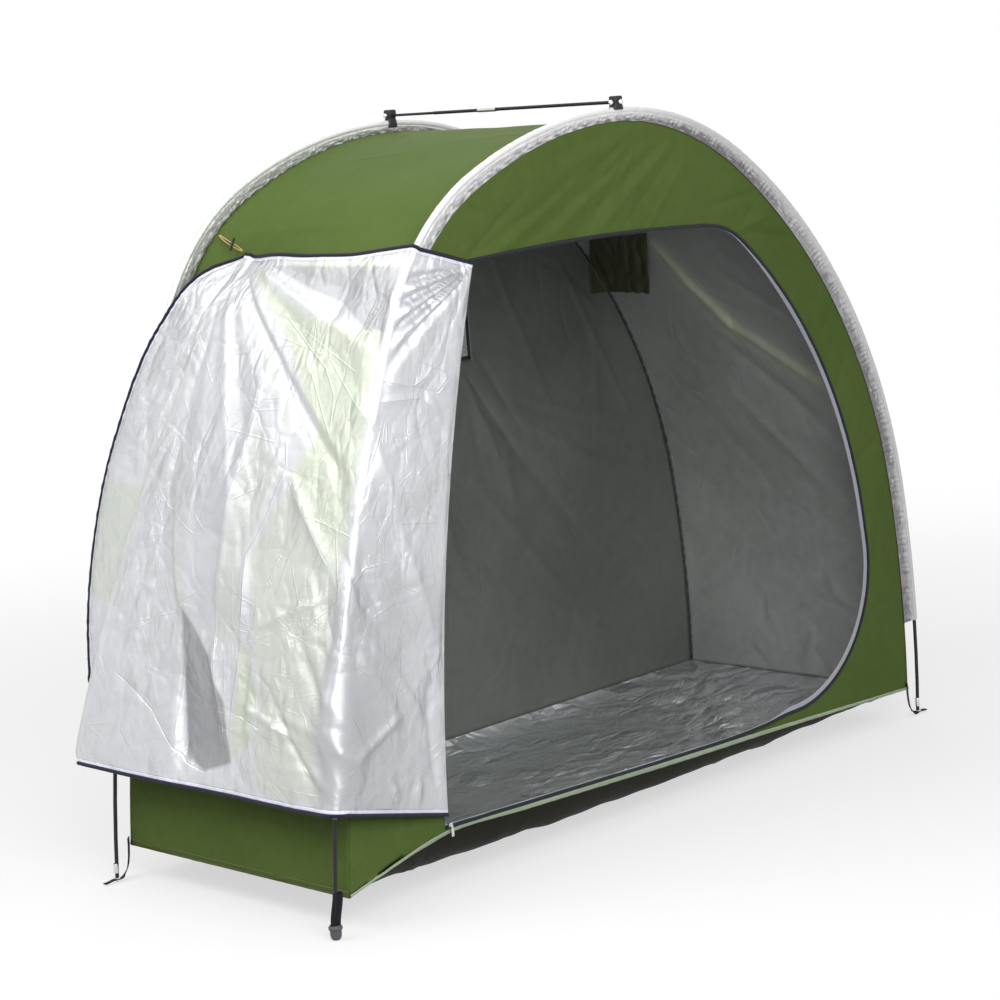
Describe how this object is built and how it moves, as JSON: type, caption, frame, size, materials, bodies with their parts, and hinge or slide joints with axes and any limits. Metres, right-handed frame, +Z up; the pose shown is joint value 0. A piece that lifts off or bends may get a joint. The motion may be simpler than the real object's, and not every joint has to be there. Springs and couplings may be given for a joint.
{
  "type": "bicycle storage tent",
  "caption": "Pole-framed green fabric tent for storing a bicycle, with a wide zipped side door whose silver flap is folded round the front end and pinned open.",
  "frame": {"origin": "on the ground, under the middle of the tent's overall box with its folded flap", "axes": "+X from the front end to the rear end, along the length; +Y from the door side to the far side; +Z up"},
  "size_m": [2.157, 0.9088, 1.6768],
  "materials": {
    "pole": "satin",
    "plastic": "matte",
    "metal": "polished",
    "silver_cloth": "silver coated",
    "green_cloth": "matte",
    "dark_green_cloth": "matte",
    "pale_green_tape": "matte",
    "black_cloth": "matte",
    "mesh": "matte",
    "webbing": "matte",
    "zip": "matte",
    "elastic": "matte",
    "grey_plastic": "matte"
  },
  "bodies": {
    "root": {"near_pole": "pole", "far_pole": "pole", "near_sleeve": "silver_cloth", "far_sleeve": "silver_cloth", "ridge_rod": "pole", "ridge_ferrule": "metal", "near_ridge_clip": "plastic", "far_ridge_clip": "plastic", "near_clip_balls": "metal", "far_clip_ball": "metal", "canopy_front": "green_cloth", "canopy_front_shoulder": "green_cloth", "canopy_front_crown": "green_cloth", "canopy_rear_crown": "green_cloth", "canopy_rear_shoulder": "green_cloth", "canopy_rear": "green_cloth", "near_wall_front": "green_cloth", "near_wall_top": "green_cloth", "near_wall_rear": "green_cloth", "near_sill": "green_cloth", "far_wall": "green_cloth", "window_mesh": "mesh", "window_frame": "webbing", "floor": "black_cloth", "near_hem": "pale_green_tape", "far_hem": "pale_green_tape", "front_hem": "green_cloth", "rear_hem": "green_cloth", "door_zip": "zip", "zip_pull": "metal", "flap_side": "silver_cloth", "flap_front": "silver_cloth", "flap_zip": "zip", "toggle_loop": "elastic", "toggle": "plastic", "inner_patch": "dark_green_cloth", "near_front_strap": "webbing", "near_rear_strap": "webbing", "far_front_strap": "webbing", "far_rear_strap": "webbing", "near_front_foot": "grey_plastic", "near_rear_foot": "metal", "far_front_foot": "metal", "far_rear_foot": "metal"}
  },
  "joints": []
}
